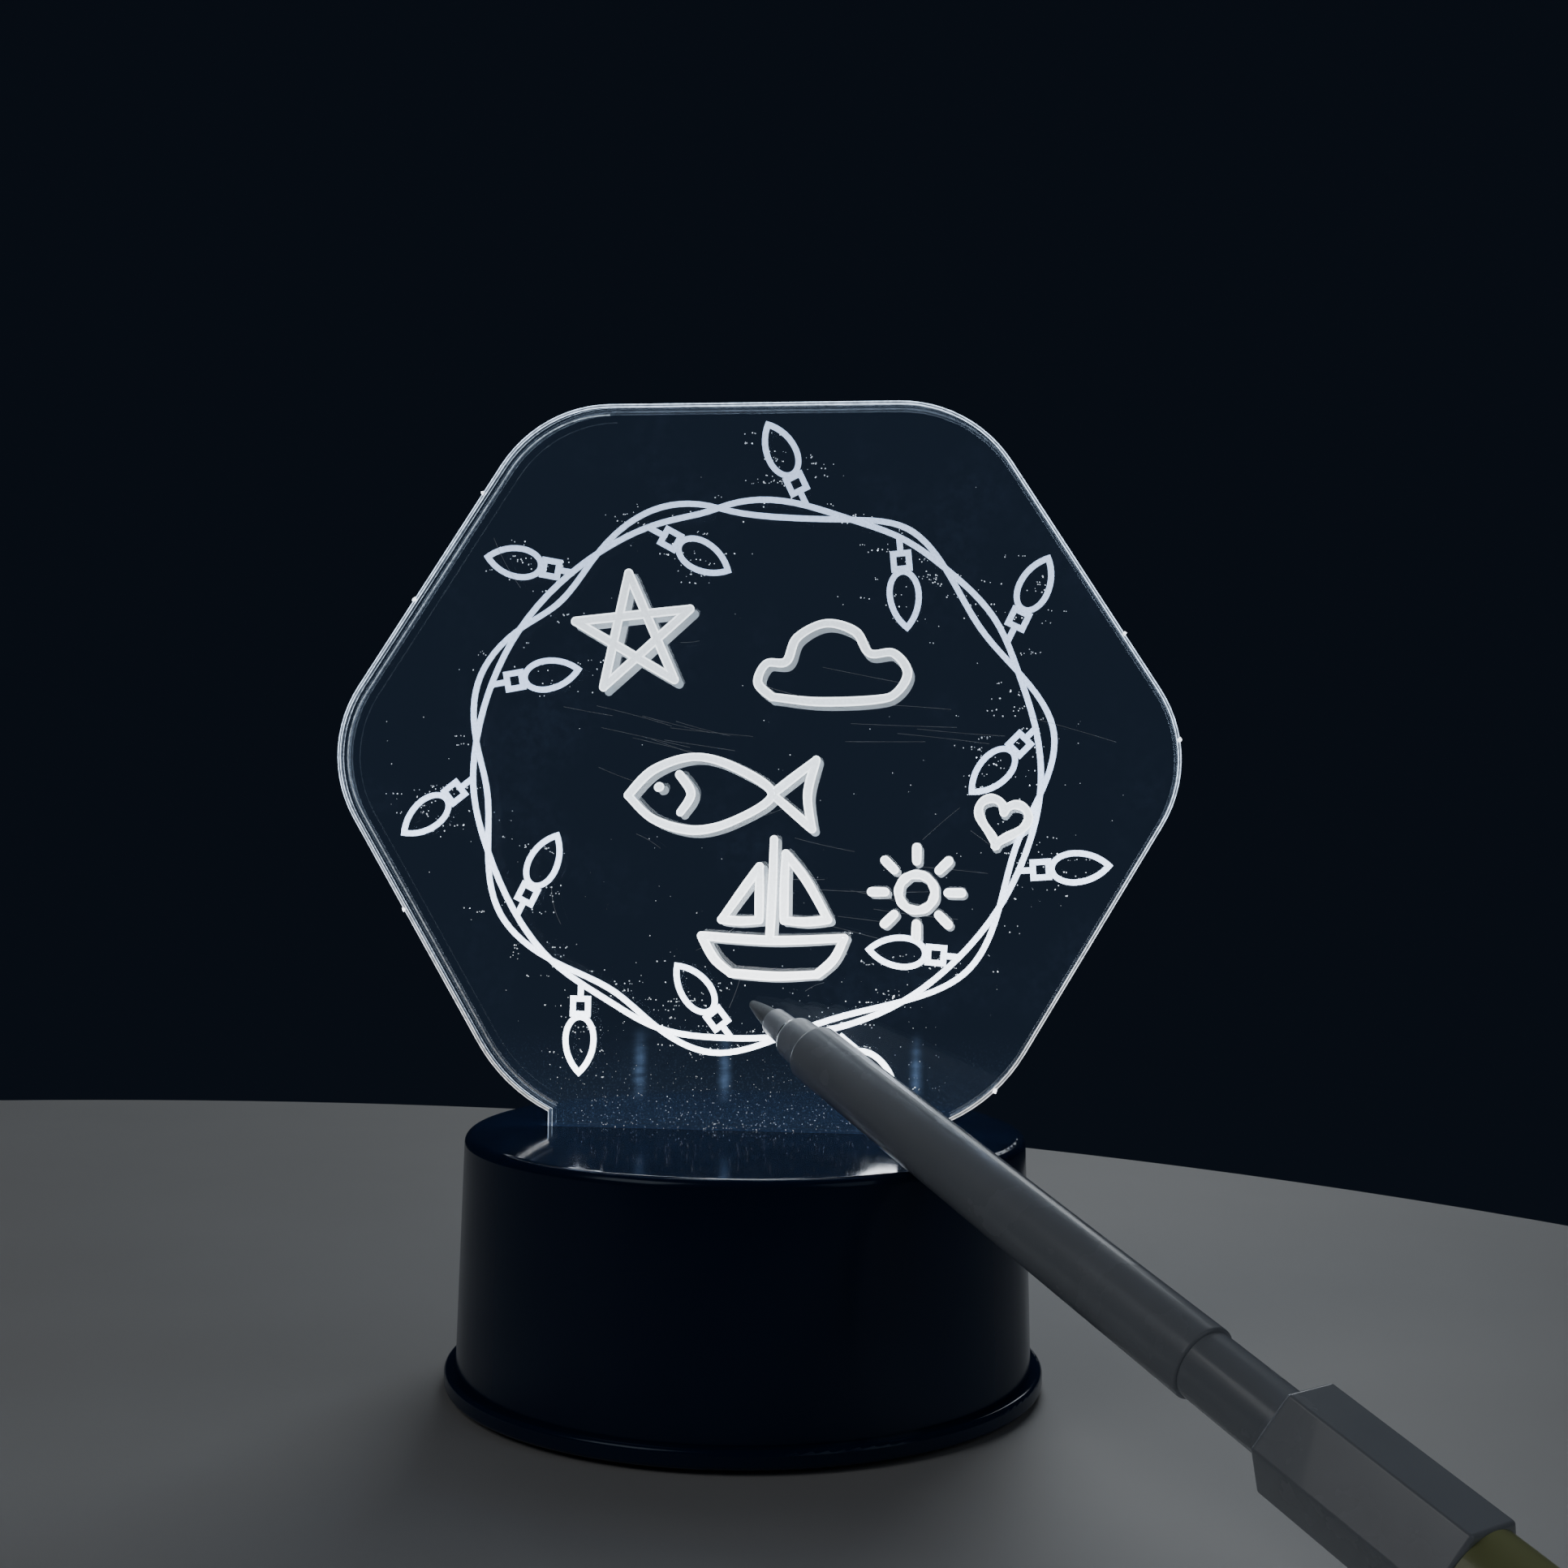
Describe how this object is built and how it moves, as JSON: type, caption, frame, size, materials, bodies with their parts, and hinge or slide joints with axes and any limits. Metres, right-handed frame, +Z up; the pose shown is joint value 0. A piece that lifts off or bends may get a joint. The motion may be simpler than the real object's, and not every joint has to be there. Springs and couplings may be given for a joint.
{
  "type": "led writing board",
  "caption": "Edge-lit clear acrylic writing board standing in a round battery base, engraved with a ring of string lights, with a capped fibre-tip pen.",
  "frame": {"origin": "on the table plane, below the centre of the round base", "axes": "+Z up out of the table, the panel's written face towards -Y, the power jack and the button towards +Y, the panel's width along X"},
  "size_m": [0.1808, 0.1729, 0.1648],
  "materials": {
    "panel": "gloss",
    "base": "gloss",
    "door": "satin",
    "rubber": "matte",
    "screws": "satin",
    "contacts": "satin",
    "cells": "gloss",
    "boards": "satin",
    "led_board": "satin",
    "leds": "gloss",
    "chips": "matte",
    "resistors": "satin",
    "jack": "gloss",
    "tongue": "matte",
    "switch": "satin",
    "plunger": "satin",
    "button": "satin",
    "wires": "satin",
    "pen_white": "gloss",
    "cap_end": "gloss",
    "nib": "matte",
    "collar": "polished",
    "reservoir": "matte",
    "seal": "matte"
  },
  "bodies": {
    "base": {"base_shell": "base", "bottom_cover": "base", "rubber_feet": "rubber", "cover_screws": "screws", "battery_1": "cells", "battery_2": "cells", "battery_3": "cells", "contact_springs": "contacts", "battery_contacts": "contacts", "led_board": "led_board", "led_chips": "leds", "led_resistors": "resistors", "led_board_screws": "screws", "control_board": "boards", "driver_chip": "chips", "board_components": "resistors", "power_jack": "jack", "jack_tongue": "tongue", "switch_housing": "switch", "led_wires": "wires", "battery_wires": "wires"},
    "panel": {"acrylic_panel": "panel"},
    "button": {"push_button": "button", "switch_plunger": "plunger"},
    "door": {"battery_door": "door"},
    "pen": {"pen_nib": "nib", "pen_nib_holder": "pen_white", "pen_collar": "collar", "pen_front_section": "pen_white", "pen_barrel": "pen_white", "pen_reservoir": "reservoir", "pen_end_plug": "pen_white"},
    "cap": {"pen_cap": "pen_white", "pen_cap_end": "cap_end", "pen_cap_seal": "seal"}
  },
  "joints": [
    {"name": "panel_lift", "type": "slide", "parent": "base", "child": "panel", "axis": [0, 0, 1], "range_m": [0, 0.022]},
    {"name": "button_press", "type": "slide", "parent": "base", "child": "button", "axis": [0, -1, 0], "range_m": [0, 0.0005], "stiffness_N_per_m": 1500},
    {"name": "door_hinge", "type": "hinge", "parent": "base", "child": "door", "pos_m": [0, -0.02865, 0.0008], "axis": [-1, 0, 0], "range_deg": [0, 70]},
    {"name": "pen_lift", "type": "slide", "parent": "base", "child": "pen", "axis": [0.2319, -0.2585, 0.9378], "range_m": [0, 0.08]},
    {"name": "cap_pull", "type": "slide", "parent": "pen", "child": "cap", "axis": [0.6263, -0.698, -0.3473], "range_m": [0, 0.024]}
  ]
}
